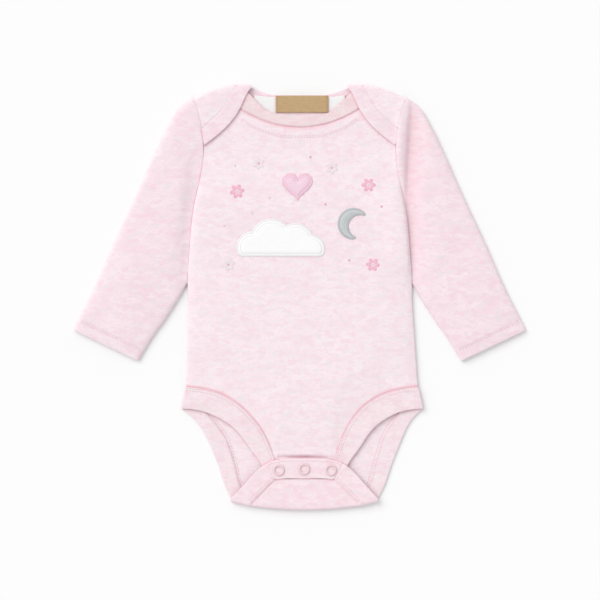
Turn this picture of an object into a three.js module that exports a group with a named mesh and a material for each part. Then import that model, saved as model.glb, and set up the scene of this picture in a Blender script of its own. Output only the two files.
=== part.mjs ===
// Long-sleeved baby onesie with lap shoulders, laid flat on its back panel with the front up.
// Millimetres. +X runs across the chest, +Y toward the neck, +Z up from the surface it lies on.
// The left and right halves mirror each other about a centre line that leans a little below the armpits.
import * as THREE from "three";

// Layers, from the surface upward
const WALL = 1.2; // one layer of knit
const BAND = 1.8; // folded binding
const THIN = 1.0; // facing, label and patches
const GAP = 0.3; // between layers
const SEAM = 0.4; // between neighbours in plan
const RIM = 0.48; // each curled edge stops this far from mid height
const BACK_Z = WALL / 2;
const BACK_BAND_Z = BAND / 2;
const FACING_Z = WALL + GAP + THIN / 2;
const FRONT_UNDER = FACING_Z + THIN / 2 + GAP;
const LABEL_Z = FRONT_UNDER + THIN / 2;
const FRONT_Z = FRONT_UNDER + WALL / 2;
const FRONT_BAND_Z = FRONT_UNDER + BAND / 2;
const FLAP_UNDER = FRONT_UNDER + BAND + GAP;
const FLAP_Z = FLAP_UNDER + WALL / 2;
const FLAP_BAND_Z = FLAP_UNDER + BAND / 2;
const FOLD_R = (FLAP_Z - BACK_Z) / 2; // radius of the shoulder and crotch folds
const CURL_R = 1.6; // how far in the back's rounded side edges reach
const FRONT_CURL = 6; // the same for the front
const ARM_CURL = 2.2; // and for the front along the armholes
const SLEEVE_CURL = 5.5; // and for the tops of the sleeves
const PUFF = 2.2; // rise of the front's middle
const PUFF_EDGE = 14; // how soon it rises from the sides
const SLEEVE_PUFF = 2.2;
const ARM_DROP = 1.0; // how low the armhole seams lie beside the front
// Rise of the front beside each armhole, depth of the trough in the sleeve low down and near the
// shoulder, and rise of the sleeve between its seam and the upper trough
const ARMHOLES = {
  left: { ridge: 1.2, low: 0.2, high: 0.5, shoulder: 0.5 },
  right: { ridge: 3.6, low: 0.2, high: 1.1, shoulder: 1.8 },
};
const TURN = [0, 30, 60, 90].map((degrees) => (degrees * Math.PI) / 180);

// Centre line: y, x
const LEAN = [[-198, 4.5], [-135, 4.6], [-104, 2.6], [-50, 1.8], [15, 0], [50, 0], [198, 0]];

// Half outlines, all as half-width x and y
const SHOULDER = [[45, 197.4], [62.9, 197.5], [79, 193.3], [99.3, 185.3]];
const ARMHOLE = [
  [99.3, 185.3], [95.3, 177.3], [92.6, 168], [90.5, 156.7], [89.2, 145], [89, 132],
  [90.3, 118], [93.6, 103], [98.6, 82], [101.2, 58], [102.9, 35], [104.5, 12.5],
];
const SIDE = [[104.5, 12.5], [104.2, -2.8], [106, -47.4], [107, -69.8], [108, -83.5]];
const SLEEVE_TOP = [
  [99.3, 185.3], [111.6, 176.6], [118.6, 164.6], [130.2, 142.3], [149.8, 97.7],
  [171.2, 53], [190.7, 8.4], [210.6, -30.5],
];
const SLEEVE_UNDER = [[104.9, 12.5], [113.5, -2.8], [128, -25.1], [136.3, -36.3], [150, -59.4]];
const FRONT_TOP = [
  [0, 157.7], [16.6, 159.3], [30.8, 162.9], [43.3, 168.2], [55.1, 174.6], [63, 180.5],
  [72, 184], [84, 183], [95, 176.5],
];
const NECK_BAND_TOP = [
  [0, 169.3], [22, 170.2], [27.5, 170.9], [34.2, 176], [40.5, 182.3], [46.4, 189], [53.5, 193],
];
const FLAP_EDGE = [
  [45, 194.3], [48.7, 190.6], [51.6, 183], [55.1, 174.6], [64.7, 161], [78.6, 148.4], [88.6, 141.1],
];
const FLAP_SEAM = [[59.5, 194.3], [65, 187.5], [70.6, 175.7], [81.5, 165.2], [90.6, 157]];
const BACK_NECK_EDGE = [[45, 194.3], [36, 191], [27, 188], [13, 187.8], [0, 187.8]];
const BACK_NECK_SEAM = [[59.5, 194.3], [55, 187], [47, 180], [36, 175.5], [20, 174], [0, 173.8]];
const LEG_SEAM = [
  [108, -83.5], [92, -85.2], [79, -88.4], [67, -94.1], [56.8, -101], [46.4, -112.4],
  [38.6, -123], [30.9, -141], [27.5, -150], [24.5, -165], [23.5, -180],
];
const LEG_EDGE = [
  [113.1, -103.8], [102.9, -104.2], [89, -107], [78, -112.5], [69, -118], [60, -126.8],
  [50.7, -141], [39, -156.5], [36.5, -168], [36, -180],
];
const BACK_LEG_SEAM = [
  [108, -83.9], [97, -98], [86, -111.5], [73.7, -129], [68.9, -142], [65.4, -153], [61.8, -168],
  [57, -182], [49.6, -191.3],
];
const BACK_LEG_EDGE = [
  [113.1, -103.8], [105.5, -109.2], [98.5, -116.8], [92.6, -127.6], [81.8, -152.8], [74.1, -175.8],
  [68.4, -187.2],
];
const BOTTOM = [[0, -198.3], [20, -197.7], [36, -196.4], [50, -194.8], [60, -193.2], [68.4, -190.6]];
const CROTCH_SEAM = [[49.6, -191.3], [41, -183], [30.5, -171.8], [27.8, -169.6]];
const CROTCH_EDGE = [[68.4, -187.2], [58, -176.2], [48.6, -165.6], [40.8, -157.9], [35.4, -154.7]];
const PLACKET_TOP = [[35.1, -154.45], [30, -152.2], [21, -150.5], [0, -150]];
const PLACKET_SEAM = [[27.5, -169.2], [20, -168.3], [0, -168.2]];
const SNAPS = [[-24.2, -160.6], [-0.6, -159.6], [24.2, -160.6]]; // from the centre line

// Chest patches: centre x, y
const CLOUD = [-18, 50];
const HEART = [-2, 104];
const MOON = [50, 68];
// The cloud's round lobes, from its centre: x, y, radius
const LOBES = [[-26, -4, 14], [-8, 3, 19], [14, 1, 17], [29, -5, 12]];
const CLOUD_BASE = 12; // flat lower edge, below the centre

const LABEL = { left: -22.2, right: 26.7, bottom: 171.5, top: 187.3 };

const lerp = (a, b, t) => a + (b - a) * t;
const smooth = (from, to, at) => THREE.MathUtils.smoothstep(at, from, to);
const range = (count) => Array.from({ length: count + 1 }, (_, i) => i / count);

// Value of a table's second column where its first column is "at", on a smooth curve
function follow(rows, at) {
  const last = rows.length - 1;
  const i = Math.min(Math.max(rows.findIndex(([key]) => key > at) - 1, 0), last - 1);
  const start = at >= rows[last][0] ? last - 1 : i;
  const slope = (k) => {
    const [a, b] = [rows[Math.max(k - 1, 0)], rows[Math.min(k + 1, last)]];
    return (b[1] - a[1]) / (b[0] - a[0]);
  };
  const [x0, y0] = rows[start];
  const [x1, y1] = rows[start + 1];
  const t = THREE.MathUtils.clamp((at - x0) / (x1 - x0), 0, 1);
  const span = x1 - x0;
  return (
    y0 * (1 + 2 * t) * (1 - t) ** 2 + slope(start) * span * t * (1 - t) ** 2 +
    y1 * t * t * (3 - 2 * t) + slope(start + 1) * span * t * t * (t - 1)
  );
}

const swap = (rows) => rows.map(([a, b]) => [b, a]).sort((a, b) => a[0] - b[0]);
const lean = (y) => follow(LEAN, y);
const place = ([half, y], side) => [lean(y) + side * half, y];

// A smooth curve through points, read by the fraction of its length
function path(points) {
  const knots = points.map(([x, y]) => new THREE.Vector3(x, y, 0));
  const curve = new THREE.CatmullRomCurve3(knots, false, "centripetal");
  const at = (f) => curve.getPointAt(THREE.MathUtils.clamp(f, 0, 1)).toArray().slice(0, 2);
  return { at, length: curve.getLength() };
}

// Fills the space inside four edges: left and right read upward, bottom and top read from left to right
function fill(left, right, bottom, top) {
  const corner = [bottom(0), bottom(1), top(0), top(1)];
  return (u, v) => [0, 1].map((k) =>
    (1 - u) * left(v)[k] + u * right(v)[k] + (1 - v) * bottom(u)[k] + v * top(u)[k] -
    (1 - u) * (1 - v) * corner[0][k] - u * (1 - v) * corner[1][k] -
    (1 - u) * v * corner[2][k] - u * v * corner[3][k]);
}

// Rows of [x, y, z] points, a null where there is none, as one list of points and faces
function net(rows, closed = false) {
  const points = [];
  const number = rows.map((row) => row.map((p) => (p ? points.push(p) - 1 : -1)));
  const faces = [];
  for (let i = 0; i + 1 < rows.length; i += 1) {
    const count = rows[i].length;
    for (let j = 0; j + 1 < count + (closed ? 1 : 0); j += 1) {
      const k = (j + 1) % count;
      const face = [number[i][j], number[i][k], number[i + 1][k], number[i + 1][j]];
      if (face.every((n) => n >= 0)) faces.push(face);
    }
  }
  return { points, faces };
}

// A closed wall around a net of points, half its thickness to each side
function wall({ points, faces }, thickness) {
  const at = points.map((p) => new THREE.Vector3(...p));
  const normals = points.map(() => new THREE.Vector3());
  const half = thickness / 2;
  const edges = new Map();
  for (const face of faces) {
    const last = face.length - 1;
    const across = at[face[2]].clone().sub(at[face[0]]);
    const normal = across.cross(at[face[last]].clone().sub(at[face[1]])).normalize();
    face.forEach((n, k) => {
      normals[n].add(normal);
      edges.set(`${n}>${face[(k + 1) % face.length]}`, [n, face[(k + 1) % face.length]]);
    });
  }
  const count = points.length;
  const position = [];
  normals.forEach((normal) => normal.normalize());
  for (const side of [1, -1]) {
    at.forEach((p, n) => position.push(...p.clone().addScaledVector(normals[n], side * half)));
  }
  const index = [];
  const add = (ring) => {
    for (let k = 1; k + 1 < ring.length; k += 1) index.push(ring[0], ring[k], ring[k + 1]);
  };
  for (const face of faces) {
    add(face);
    add(face.map((n) => n + count).reverse());
  }
  for (const [a, b] of edges.values()) {
    if (!edges.has(`${b}>${a}`)) add([b, a, a + count, b + count]);
  }
  const geometry = new THREE.BufferGeometry();
  geometry.setAttribute("position", new THREE.Float32BufferAttribute(position, 3));
  geometry.setIndex(index);
  geometry.computeVertexNormals();
  return geometry;
}

const group = new THREE.Group();

function addPart(name, geometry, color, roughness = 0.9) {
  const material = new THREE.MeshStandardMaterial({ color, roughness, side: THREE.DoubleSide });
  const mesh = new THREE.Mesh(geometry, material);
  mesh.name = name;
  group.add(mesh);
}

const PINK = "#f3d3dc";
const PINK_BAND = "#f0c9d5";
const WHITE = "#f8f8f8";

// Side and armhole edge as one table of y and half-width
const bodyEdge = swap([...ARMHOLE, ...SIDE.slice(1)]);
const backEdge = swap([...ARMHOLE, ...SIDE.slice(1, -1), ...BACK_LEG_SEAM]);

// How far the side edges curl in: fully below the armpit, not at all along the armhole
const curl = (y) => 1 - smooth(12.5, 60, y);
const round = (inward, radius) => Math.sqrt(1 - (1 - Math.min(inward / radius, 1)) ** 2);

// Across the body: close together at the edges, where the cloth curls, and a stop at each shoulder fold's end
const BODY_WIDTH = 205;
const SHOULDER_END = 60;
const FULL_HALF = follow(bodyEdge, 185.3 - WALL / 2 - FOLD_R);
const shoulderStop = (FULL_HALF - SHOULDER_END) / (2 * FULL_HALF);
function levels(radius, outer, middle) {
  const edgeLevels = TURN.map((a) => (radius * (1 - Math.cos(a))) / BODY_WIDTH);
  const half = [...edgeLevels, ...range(outer).slice(1).map((f) => lerp(edgeLevels[3], shoulderStop, f))];
  const centre = range(middle).slice(1, -1).map((f) => lerp(shoulderStop, 1 - shoulderStop, f));
  return [...half, ...centre, ...half.map((u) => 1 - u).reverse()];
}

const frontLevels = levels(FRONT_CURL, 5, 18);
const backLevels = levels(CURL_R, 4, 12);
const LEG_SHARE = lerp(shoulderStop, 1 - shoulderStop, 6 / 18);

// Where the armhole seam lies in the step between the front and a sleeve
const arm = (y) => smooth(12, 34, y) * (1 - smooth(84, 112, y));
function ridge(inward, side) {
  const armhole = side < 0 ? ARMHOLES.left : ARMHOLES.right;
  return armhole.ridge * Math.exp(-(((inward - 7) / 13) ** 2));
}
const legTop = swap(LEG_SEAM.map(([x, y]) => [y, x]));
function frontHeight(x, y) {
  const half = Math.abs(x - lean(y));
  const inward = Math.max(0, follow(bodyEdge, y) - half);
  const aboveLeg = smooth(0, 50, y - Math.max(-152, follow(legTop, half)));
  const puff = PUFF * (1 - Math.exp(-inward / PUFF_EDGE)) * aboveLeg * (1 - smooth(92, 138, y));
  return FRONT_Z + puff + arm(y) * ridge(inward, x);
}

// Front panel: its shoulders and its crotch end run on under the flaps
const frontTop = swap(FRONT_TOP.map(([x, y]) => [y, x]));
const FRONT_CORNER = [follow(bodyEdge, 176.5), 176.5];
{
  const edge = (side) => (v) => {
    const y = lerp(-83.5, 176.5, v);
    return place([follow(bodyEdge, y) - (Math.max(curl(y), 0.9 * arm(y)) * WALL) / 2, y], side);
  };
  const leg = path(LEG_SEAM);
  const inset = (point, u) => [point[0] - (u < 0.02 ? (1 - u / 0.02) * (WALL / 2) : 0), point[1]];
  const bottom = (u) => {
    const mirrored = Math.min(u, 1 - u);
    const side = u < 0.5 ? -1 : 1;
    if (mirrored <= LEG_SHARE) return place(inset(leg.at(mirrored / LEG_SHARE), mirrored), side);
    return place([23.5 * ((0.5 - mirrored) / (0.5 - LEG_SHARE)), -180], side);
  };
  const [topLeft, topRight] = [edge(-1)(1), edge(1)(1)];
  const above = (u) => {
    const x = lerp(topLeft[0], topRight[0], u);
    return [x, lerp(follow(frontTop, Math.abs(x)), topLeft[1], Math.abs(2 * u - 1) ** 40)];
  };
  const at = fill(edge(-1), edge(1), bottom, above);
  const rows = range(22).map((v) => {
    const sideY = lerp(-83.5, 176.5, v);
    const radius = lerp(FRONT_CURL, ARM_CURL, arm(sideY));
    return levels(radius, 5, 18).map((u) => {
      const [x, y] = at(u, v);
      const inward = Math.min(u, 1 - u) * BODY_WIDTH;
      const atSide = curl(sideY) * ((FRONT_Z - BACK_Z) / 2 - RIM);
      const atArm = arm(y) * (ARM_DROP + ridge(0, x));
      return [x, y, frontHeight(x, y) - Math.max(atSide, atArm) * (1 - round(inward, radius))];
    });
  });
  addPart("front_body", wall(net(rows), WALL), PINK);
}

const HIP_Y = -83.9;
const LEG_ROWS = 12;
const neck = swap(BACK_NECK_SEAM.map(([x, y]) => [y, x]));
const bottomEdge = swap(BOTTOM.map(([x, y]) => [y, x]));
const LOW = follow(bottomEdge, 49.6 - SEAM) + WALL / 2 + FOLD_R;

// Back panel: one piece that turns over at the shoulders and at the crotch and ends as flaps on the front
{
  const shoulder = swap(SHOULDER.map(([x, y]) => [y, x]));
  const us = backLevels;
  const start = WALL / 2 + FOLD_R;
  const HIGH = 185.3 - start;
  const bodyCurl = (y) => curl(y) * smooth(-92, -84, y);
  const edge = (side) => (v) => {
    const y = lerp(LOW, HIGH, v);
    const half = follow(backEdge, y) - (bodyCurl(y) * WALL) / 2;
    return place([half, y], side);
  };
  const bottom = (u) => {
    const half = lerp(edge(-1)(0)[0] - lean(LOW), edge(1)(0)[0] - lean(LOW), u);
    return place([half, follow(bottomEdge, Math.abs(half)) + start], 1);
  };
  const above = (u) => {
    const x = lerp(edge(-1)(1)[0], edge(1)(1)[0], u);
    const half = Math.abs(x);
    const y = half > SHOULDER_END - 0.01 ? follow(shoulder, half) - start : follow(neck, half);
    return [x, lerp(y, HIGH, Math.abs(2 * u - 1) ** 60)];
  };
  const at = fill(edge(-1), edge(1), bottom, above);
  const hip = (HIP_Y - LOW) / (HIGH - LOW);
  const below = range(LEG_ROWS).map((f) => f * hip);
  const vs = [...below, ...range(20).slice(1).map((f) => lerp(hip, 1, f))];
  const body = vs.map((v) => us.map((u) => {
    const [x, y] = at(u, v);
    const sideY = lerp(LOW, HIGH, v);
    const inward = Math.min(u, 1 - u) * BODY_WIDTH;
    const rise = bodyCurl(sideY) * ((FRONT_Z - BACK_Z) / 2 - RIM) * (1 - round(inward, CURL_R));
    return [x, y, BACK_Z + rise];
  }));
  const turned = (p, outward, angle) => [
    p[0],
    p[1] + outward * FOLD_R * Math.cos(angle),
    BACK_Z + FOLD_R * (1 + Math.sin(angle)),
  ];
  const angles = [-60, -30, 0, 30, 60, 90].map((degrees) => (degrees * Math.PI) / 180);

  // The crotch flap, from its snap placket down to the fold
  const foldRow = body[0].map((p) => turned(p, -1, Math.PI / 2));
  const seam = path(CROTCH_SEAM);
  const flapSide = (side) => (v) => {
    const [half, y] = seam.at(v);
    return place([half - SEAM, lerp(foldRow[0][1], y, smooth(0, 0.15, v))], side);
  };
  const flapLow = (u) => place([lerp(-1, 1, u) * (seam.at(0)[0] - SEAM), foldRow[0][1]], 1);
  const flapHigh = (u) => {
    const [half, y] = seam.at(1);
    return place([lerp(-1, 1, u) * (half - SEAM), y + 0.4 * (1 - (2 * u - 1) ** 2)], 1);
  };
  const flapAt = fill(flapSide(-1), flapSide(1), flapLow, flapHigh);
  const crotchFlap = range(4).slice(1).map((v) => us.map((u, j) => {
    const [x, y] = flapAt(u, v);
    return [x, lerp(foldRow[j][1] + (y - foldRow[0][1]), y, v), FLAP_Z];
  })).reverse();
  const crotchFold = [...angles].reverse().map((a) => body[0].map((p) => turned(p, -1, a)));

  // The shoulder flaps, from the fold down to the binding's seam
  const flapSeam = path(FLAP_SEAM);
  const isShoulder = (u) => Math.min(u, 1 - u) <= shoulderStop + 1e-6;
  const top = body[body.length - 1];
  const shoulderFold = angles.map((a) => top.map((p, j) => (isShoulder(us[j]) ? turned(p, 1, a) : null)));
  const shoulderFlap = range(4).slice(1).map((w) => top.map((p, j) => {
    if (!isShoulder(us[j])) return null;
    const side = us[j] < 0.5 ? -1 : 1;
    const outer = 1 - Math.min(us[j], 1 - us[j]) / shoulderStop;
    const f = lerp(0.1, 1, outer);
    const [seamX, seamY] = flapSeam.at(f);
    const y = lerp(p[1], seamY, w);
    const straight = lerp(Math.abs(p[0]), seamX, w);
    const edgeX = follow(bodyEdge, y) - (FULL_HALF - Math.abs(p[0]));
    return [side * lerp(straight, edgeX, smooth(0.6, 1, outer)), y, FLAP_Z];
  }));
  const rows = [...crotchFlap, ...crotchFold, ...body, ...shoulderFold, ...shoulderFlap];
  addPart("back_body", wall(net(rows), WALL), PINK);
}

// Sleeves: flattened tubes, open at the armhole and at the cuff
{
  const outer = path(SLEEVE_TOP);
  const under = path(SLEEVE_UNDER);
  const armhole = path(ARMHOLE.map(([x, y]) => [x + 0.6, y]));
  const cuff = path([SLEEVE_TOP[SLEEVE_TOP.length - 1], SLEEVE_UNDER[SLEEVE_UNDER.length - 1]]);
  const at = fill(armhole.at, cuff.at, outer.at, under.at);
  const stops = [0, 0.03, 0.06, 0.09, 0.13, 0.18, 0.25, 0.33, 0.42, 0.51, 0.6, 0.69, 0.78, 0.86, 0.93, 1];
  const ringsWith = (fold) => stops.map((along) => {
    const width = lerp(armhole.length, cuff.length, along);
    const near = 1 - smooth(0, 0.35, along);
    const height = (s) => {
      const y = at(along, s)[1];
      const top = lerp(FRONT_Z, FLAP_Z, smooth(118, 143, y) * near);
      const middle = Math.sin(Math.PI * s);
      const puff = SLEEVE_PUFF * middle ** 0.6 * smooth(0.02, 0.2, along) * (1 - smooth(0.85, 1, along));
      const upper = smooth(88, 122, y);
      const reach = along / lerp(0.03, 0.08, upper);
      const dip = (reach * Math.exp(1 - reach)) ** lerp(1, 3, upper);
      const crest = smooth(0, 0.03, along) * (1 - smooth(0.04, 0.075, along));
      const trough = lerp(fold.low, fold.high, upper) * dip;
      const folds = Math.sqrt(middle) * (fold.shoulder * upper * crest - trough);
      const drop = ARM_DROP * arm(y) * Math.exp(-along / 0.08);
      return [(BACK_Z + top) / 2, (top - BACK_Z) / 2, puff + folds - drop];
    };
    const across = (roll) => {
      const ends = (edge) => TURN.map((a) => {
        const s = (WALL / 2 + roll * (1 - Math.cos(a))) / width;
        return [edge === 0 ? s : 1 - s, Math.sin(a)];
      });
      const middle = range(12).slice(1, -1).map((f) => [lerp(ends(0)[3][0], ends(1)[3][0], f), 1]);
      return [...ends(0), ...middle, ...ends(1).reverse()];
    };
    const point = ([s, ratio], layer) => {
      const [centre, half, puff] = height(s);
      const [x, y] = at(along, s);
      return [x, y, centre + layer * half * ratio + (layer > 0 ? puff * ratio : 0)];
    };
    const lower = across(CURL_R).map((p) => point(p, -1));
    const upper = across(SLEEVE_CURL).slice(1, -1).reverse().map((p) => point(p, 1));
    return [...lower, ...upper];
  });
  const SLEEVES = [["sleeve_left", -1, ARMHOLES.left], ["sleeve_right", 1, ARMHOLES.right]];
  for (const [name, side, fold] of SLEEVES) {
    const rows = ringsWith(fold).map((ring) => ring.map(([x, y, z]) => [side * x, y, z]));
    if (side > 0) rows.reverse();
    addPart(name, wall(net(rows, true), WALL), PINK);
  }
}

// A strip between two curves: one row of points across it at each fraction
function strip(from, to, fractions, z) {
  return fractions.map((f, i) => {
    const [a, b] = [from.at(f), to.at(f)];
    return [0, 0.5, 1].map((t) => [lerp(a[0], b[0], t), lerp(a[1], b[1], t), Array.isArray(z) ? z[i] : z]);
  });
}

// A strip beside a panel: its rows start at the panel's own seam points and reach the strip's outer edge
function beside(seamPoints, edge, z, from = 0) {
  const steps = seamPoints.map((p, i) => {
    const before = seamPoints[Math.max(i - 1, 0)];
    return Math.hypot(p[0] - before[0], p[1] - before[1]);
  });
  const total = steps.reduce((a, b) => a + b);
  let run = 0;
  return seamPoints.map((p, i) => {
    run += steps[i];
    const e = edge.at(lerp(from, 1, run / total));
    const reach = Math.hypot(e[0] - p[0], e[1] - p[1]);
    return [0, 0.5, 1].map((t) => {
      const k = lerp(0, 1 - SEAM / reach, t);
      return [lerp(e[0], p[0], k), lerp(e[1], p[1], k), Array.isArray(z) ? z[i] : z];
    });
  });
}

const mirror = (rows, side) => rows.map((row) => row.map(([h, y, z]) => [...place([h, y], side), z]));
const shift = (points, dx, dy) => points.map(([x, y]) => [x + dx, y + dy]);
const both = (rows) => [...mirror(rows, -1), ...mirror([...rows].reverse(), 1).slice(1)];

// Front leg bindings, each from the side seam to the crotch end under the flap
const HIP_Z = (BACK_BAND_Z + FRONT_BAND_Z) / 2;
const HIP_RIM = 0.9;
function hipHeights(z, count) {
  const rim = z > HIP_Z ? HIP_Z + HIP_RIM : HIP_Z - HIP_RIM;
  return Array.from({ length: count }, (_, i) => lerp(rim, z, Math.sin(TURN[Math.min(i, 3)])));
}
for (const [name, side] of [["leg_binding_front_left", -1], ["leg_binding_front_right", 1]]) {
  const seam = path(LEG_SEAM);
  const points = frontLevels.filter((u) => u < LEG_SHARE + 1e-6).map((u) => seam.at(u / LEG_SHARE));
  const edge = path(LEG_EDGE);
  const rows = beside(points, edge, hipHeights(FRONT_BAND_Z, points.length), BAND / 2 / edge.length);
  addPart(name, wall(net(mirror(rows, side)), BAND), PINK_BAND);
}

// Back leg bindings: down the back, round the crotch fold and up the flap's side
for (const [name, side] of [["leg_binding_back_left", -1], ["leg_binding_back_right", 1]]) {
  const stops = range(LEG_ROWS).map((f) => lerp(HIP_Y, LOW, f)).map((y) => [follow(backEdge, y), y]);
  const hip = TURN.slice(1, 3).map((a) =>
    [0, 1].map((k) => lerp(stops[0][k], stops[1][k], (1 - Math.cos(a)) / 2)));
  const points = [[stops[0][0], stops[0][1] - SEAM], ...hip, ...stops.slice(1)];
  const edge = path(BACK_LEG_EDGE);
  const down = beside(points, edge, hipHeights(BACK_BAND_Z, points.length), BAND / 2 / edge.length);
  const corner = down[down.length - 1];
  const radius = (FLAP_BAND_Z - BACK_BAND_Z) / 2;
  const angles = [-60, -30, 0, 30, 60].map((degrees) => (degrees * Math.PI) / 180);
  const fold = angles.map((a) =>
    corner.map(([x, y]) => [x, y - radius * Math.cos(a), BACK_BAND_Z + radius * (1 + Math.sin(a))]));
  const flap = path(CROTCH_SEAM);
  const up = beside(range(8).map((f) => flap.at(f)), path(CROTCH_EDGE), FLAP_BAND_Z);
  addPart(name, wall(net(mirror([...down, ...fold, ...up], side)), BAND), PINK_BAND);
}

// Snap placket across the flap's end, with three open ring snaps
{
  const rows = strip(path(PLACKET_TOP), path(PLACKET_SEAM), range(6), FLAP_BAND_Z);
  addPart("snap_placket", wall(net(both(rows)), BAND), PINK_BAND);
  const profile = range(9).slice(0, -1).map((f) => {
    const a = 2 * Math.PI * f;
    return new THREE.Vector2(4.35 + 1.3 * Math.cos(a), 0.65 + 0.65 * Math.sin(a));
  });
  profile.push(profile[0].clone());
  SNAPS.forEach(([half, y], i) => {
    const ring = new THREE.LatheGeometry(profile, 24);
    ring.rotateX(Math.PI / 2);
    const [x] = place([half, y], 1);
    ring.translate(x, y, FLAP_BAND_Z + BAND / 2 + GAP / 3);
    addPart(`snap_${i + 1}`, ring, "#e9c3cd", 0.35);
  });
}

// Front neck binding, its ends under the shoulder flaps
{
  const points = frontLevels.filter((u) => u >= shoulderStop - 0.03 && u <= 0.5)
    .map((u) => FRONT_CORNER[0] * (1 - 2 * u)).reverse().map((x) => [x, follow(frontTop, x)]);
  const rows = beside(points, path(NECK_BAND_TOP), FRONT_BAND_Z).reverse();
  addPart("front_neck_binding", wall(net(both(rows)), BAND), PINK_BAND);
}

// Back neck binding: along both flaps, over the shoulder folds and round the back of the neck
{
  const seam = path(FLAP_SEAM);
  const stops = backLevels.filter((u) => u < shoulderStop + 1e-6)
    .map((u) => lerp(0.1, 1, 1 - u / shoulderStop));
  const flap = beside([...stops, 0].map((f) => seam.at(f)), path([...FLAP_EDGE].reverse()), FLAP_Z);
  const tip = flap[flap.length - 1];
  const angles = [60, 30, 0, -30, -60].map((degrees) => (degrees * Math.PI) / 180);
  const fold = angles.map((a) =>
    tip.map(([x, y]) => [x, y + FOLD_R * Math.cos(a), BACK_Z + FOLD_R * (1 + Math.sin(a))]));
  const backStops = backLevels.filter((u) => u > shoulderStop + 1e-6 && u <= 0.5)
    .map((u) => FULL_HALF * (1 - 2 * u)).map((x) => [x, follow(neck, x)]);
  const behind = beside([[59.6, 194.3], ...backStops], path(BACK_NECK_EDGE), BACK_Z);
  addPart("back_neck_binding", wall(net(both([...flap, ...fold, ...behind])), WALL), PINK_BAND);
}

// White facing inside the back neck, and a bare label on it
{
  const rows = strip(path([[42, 188.2], [36, 186.9], [27, 186.3], [13, 186.1], [0, 186]]),
    path([[43.5, 176], [36, 167], [24, 162], [12, 160.3], [0, 160]]), range(7), FACING_Z);
  addPart("back_neck_facing", wall(net(both(rows)), THIN), WHITE);
  const label = [0, 0.5, 1].map((v) => range(4).map((u) =>
    [lerp(LABEL.left, LABEL.right, u), lerp(LABEL.bottom, LABEL.top, v), LABEL_Z]));
  addPart("neck_label", wall(net(label), THIN), "#c8a070");
}

// Chest patches, made from the front's own surface and moved up off it
{
  const onFront = ([x, y]) => [x, y, frontHeight(x, y) + WALL / 2 + GAP + THIN / 2];
  const patch = (centre, outline, count) => {
    const rows = [0.5, 0.92, 1].map((k) => Array.from({ length: count }, (_, i) => {
      const [x, y] = outline(i / count);
      return onFront([centre[0] + k * x, centre[1] + k * y]);
    }));
    const { points, faces } = net(rows, true);
    points.push(onFront(centre));
    for (let i = 0; i < count; i += 1) faces.push([(i + 1) % count, i, points.length - 1]);
    return { points, faces };
  };
  const cloudEdge = (f) => {
    const [dx, dy] = [Math.cos(2 * Math.PI * f), Math.sin(2 * Math.PI * f)];
    const reach = LOBES.map(([x, y, r]) => {
      const along = dx * x + dy * y;
      return along + Math.sqrt(Math.max(0, r * r - x * x - y * y + along * along));
    });
    const far = Math.min(Math.max(...reach), dy < 0 ? -CLOUD_BASE / dy : Infinity);
    return [far * dx, far * dy];
  };
  const heartEdge = (f) => {
    const t = 2 * Math.PI * f;
    const up = 13 * Math.cos(t) - 5 * Math.cos(2 * t) - 2 * Math.cos(3 * t) - Math.cos(4 * t);
    return [-0.85 * 16 * Math.sin(t) ** 3, 0.85 * up];
  };
  addPart("patch_cloud", wall(patch(CLOUD, cloudEdge, 48), THIN), "#fbfbfb");
  addPart("patch_heart", wall(patch(HEART, heartEdge, 32), THIN), "#f2bfd2");
  const TILT = -0.4;
  const turn = ([x, y]) => onFront([
    MOON[0] + x * Math.cos(TILT) - y * Math.sin(TILT),
    MOON[1] + x * Math.sin(TILT) + y * Math.cos(TILT),
  ]);
  const moon = range(16).map((f) => {
    const [a, b] = [lerp(60, 300, f), lerp(88, 272, f)].map((degrees) => (degrees * Math.PI) / 180);
    const outer = [14 * Math.cos(a), 14 * Math.sin(a)];
    const inner = [6.5 + 11 * Math.cos(b), 11 * Math.sin(b)];
    return [0, 0.5, 1].map((t) => turn([lerp(outer[0], inner[0], t), lerp(outer[1], inner[1], t)]));
  });
  addPart("patch_moon", wall(net(moon), THIN), "#bcc5c6");
}

export default group;
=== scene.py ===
# %% [markdown]
# # A baby onesie laid flat
# The garment lies on its back panel with the front up, seen from straight above. The solids of the
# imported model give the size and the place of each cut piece. Here each of them becomes real cloth:
# rounded edges, soft creases, a melange knit, seams, threads, snaps and sewn patches.
# Lengths in the tables are millimetres; Blender works in metres.

# %% The frame
import math

import bpy
from mathutils import Matrix, Vector, noise
from mathutils.bvhtree import BVHTree


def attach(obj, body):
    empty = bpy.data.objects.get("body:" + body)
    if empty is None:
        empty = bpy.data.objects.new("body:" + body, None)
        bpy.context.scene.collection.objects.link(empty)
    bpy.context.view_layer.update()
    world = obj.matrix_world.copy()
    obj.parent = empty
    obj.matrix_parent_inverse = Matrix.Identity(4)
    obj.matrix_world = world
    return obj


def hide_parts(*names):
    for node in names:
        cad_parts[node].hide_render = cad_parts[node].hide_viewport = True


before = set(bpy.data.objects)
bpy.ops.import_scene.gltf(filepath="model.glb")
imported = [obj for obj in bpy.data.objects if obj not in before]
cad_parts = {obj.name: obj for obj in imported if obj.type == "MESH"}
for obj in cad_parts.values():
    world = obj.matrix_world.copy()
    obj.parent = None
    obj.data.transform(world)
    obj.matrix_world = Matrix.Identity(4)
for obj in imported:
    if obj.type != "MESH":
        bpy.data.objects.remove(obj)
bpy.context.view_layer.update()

MM = 0.001
print("nodes:", sorted(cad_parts))

# %% [markdown]
# ## Camera
# The camera hangs straight above the garment. A long lens from far away keeps the sleeves from
# spreading, as in a catalogue picture. One pixel of the 600 pixel picture is 0.93 mm wide.

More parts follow.
